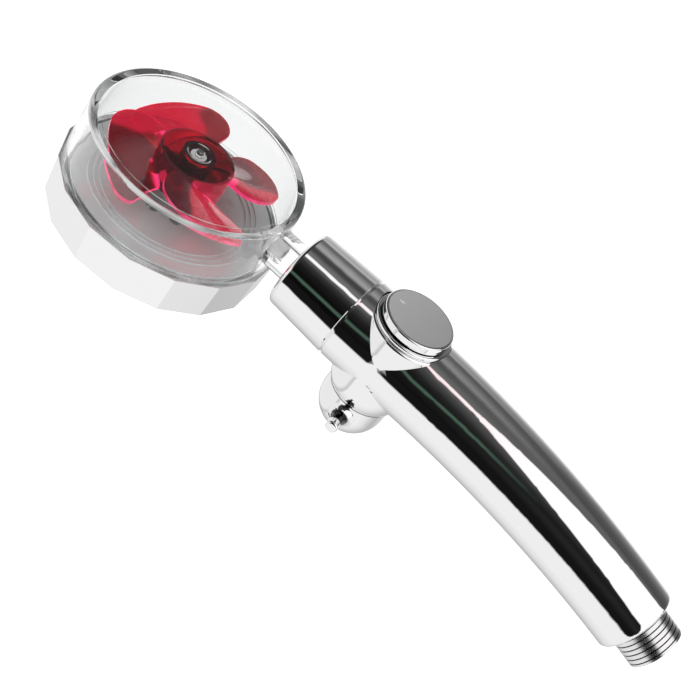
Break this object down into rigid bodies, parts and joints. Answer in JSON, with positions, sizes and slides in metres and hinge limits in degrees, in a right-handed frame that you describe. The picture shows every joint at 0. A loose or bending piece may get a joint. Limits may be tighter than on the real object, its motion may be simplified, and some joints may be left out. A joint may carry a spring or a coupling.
{
  "type": "handheld shower head",
  "caption": "Handheld shower head with a clear round chamber and red fan, a sixteen-sided spray ring, a swivel neck, a curved chromed grip and a quarter-turn stop valve.",
  "frame": {"origin": "centre of the spray face", "axes": "+Z out of the head's clear back, opposite to the spray; +X along the neck axis from the head to the hose end; +Y completes a right-handed frame"},
  "size_m": [0.2746, 0.0862, 0.0574],
  "materials": {
    "chromed_grip": "polished",
    "chromed_collar": "polished",
    "chromed_ring": "polished",
    "chromed_trim": "polished",
    "chromed_connector": "polished",
    "satin_plate": "satin",
    "clear_plastic": "gloss",
    "red_clear_plastic": "gloss",
    "floor_grey": "gloss",
    "white_plastic": "satin",
    "grey_plastic": "satin",
    "tube_plastic": "satin",
    "seal_rubber": "matte",
    "stainless": "satin",
    "spring_steel": "satin",
    "brass": "satin"
  },
  "bodies": {
    "handle": {"handle_shell": "chromed_grip", "collar": "chromed_collar", "swivel_bush": "white_plastic", "front_tube": "tube_plastic", "valve_body": "brass", "rear_tube": "tube_plastic", "inlet_connector": "chromed_connector", "inlet_insert": "grey_plastic", "inlet_filter": "grey_plastic", "dial_bezel": "chromed_trim"},
    "head": {"chamber_housing": "clear_plastic", "neck_o_rings": "seal_rubber", "neck_clip": "spring_steel", "jet_nozzle": "white_plastic", "floor_plate": "floor_grey", "chamber_seal": "seal_rubber", "spray_gasket": "seal_rubber", "spray_plate": "stainless", "face_ring": "chromed_ring", "thrust_washer": "white_plastic", "fan_axle": "stainless"},
    "fan": {"fan": "red_clear_plastic", "fan_bush": "white_plastic"},
    "valve": {"valve_spindle": "brass", "spindle_o_rings": "seal_rubber", "dial": "chromed_trim", "dial_plate": "satin_plate", "dial_screw": "stainless", "rear_cap": "chromed_trim", "thumb_peg": "chromed_trim"}
  },
  "joints": [
    {"name": "head_swivel", "type": "hinge", "parent": "handle", "child": "head", "pos_m": [0.06, 0, 0.0305], "axis": [1, 0, 0], "continuous": true},
    {"name": "fan_spin", "type": "hinge", "parent": "head", "child": "fan", "pos_m": [0, 0, 0.0305], "axis": [0, 0, 1], "continuous": true},
    {"name": "valve_turn", "type": "hinge", "parent": "handle", "child": "valve", "pos_m": [0.0958, 0, 0.0305], "axis": [0, 0, 1], "range_deg": [-90, 0]}
  ]
}
